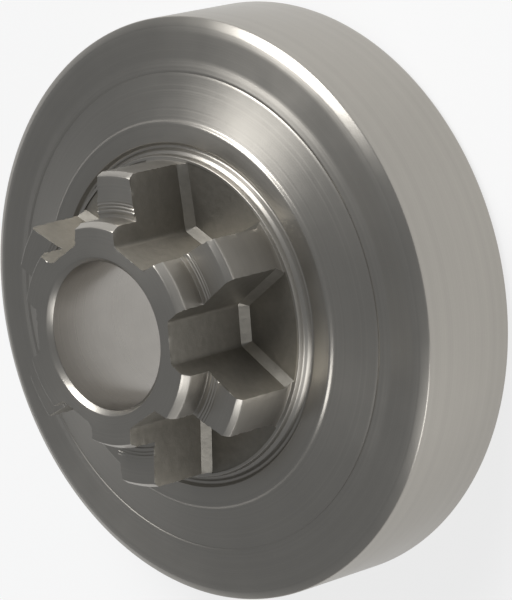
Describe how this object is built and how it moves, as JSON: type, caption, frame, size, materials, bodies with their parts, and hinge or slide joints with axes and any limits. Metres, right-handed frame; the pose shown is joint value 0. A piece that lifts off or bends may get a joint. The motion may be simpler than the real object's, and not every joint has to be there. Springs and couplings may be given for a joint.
{
  "type": "clutch drum",
  "caption": "Turned steel clutch drum: an open cup with a flat rim, a coned face, an integral spur sprocket with a stepped nose, and a through bore.",
  "frame": {"origin": "centre of the open rim, on the plane the rim stands on", "axes": "+Z along the bore from the open rim to the sprocket nose, +X through the middle of one sprocket gullet"},
  "size_m": [0.056, 0.056, 0.0252],
  "materials": {
    "steel": "fine turned steel, bare, with milled gullets and a ground bore"
  },
  "bodies": {
    "root": {"clutch_drum": "steel"}
  },
  "joints": []
}
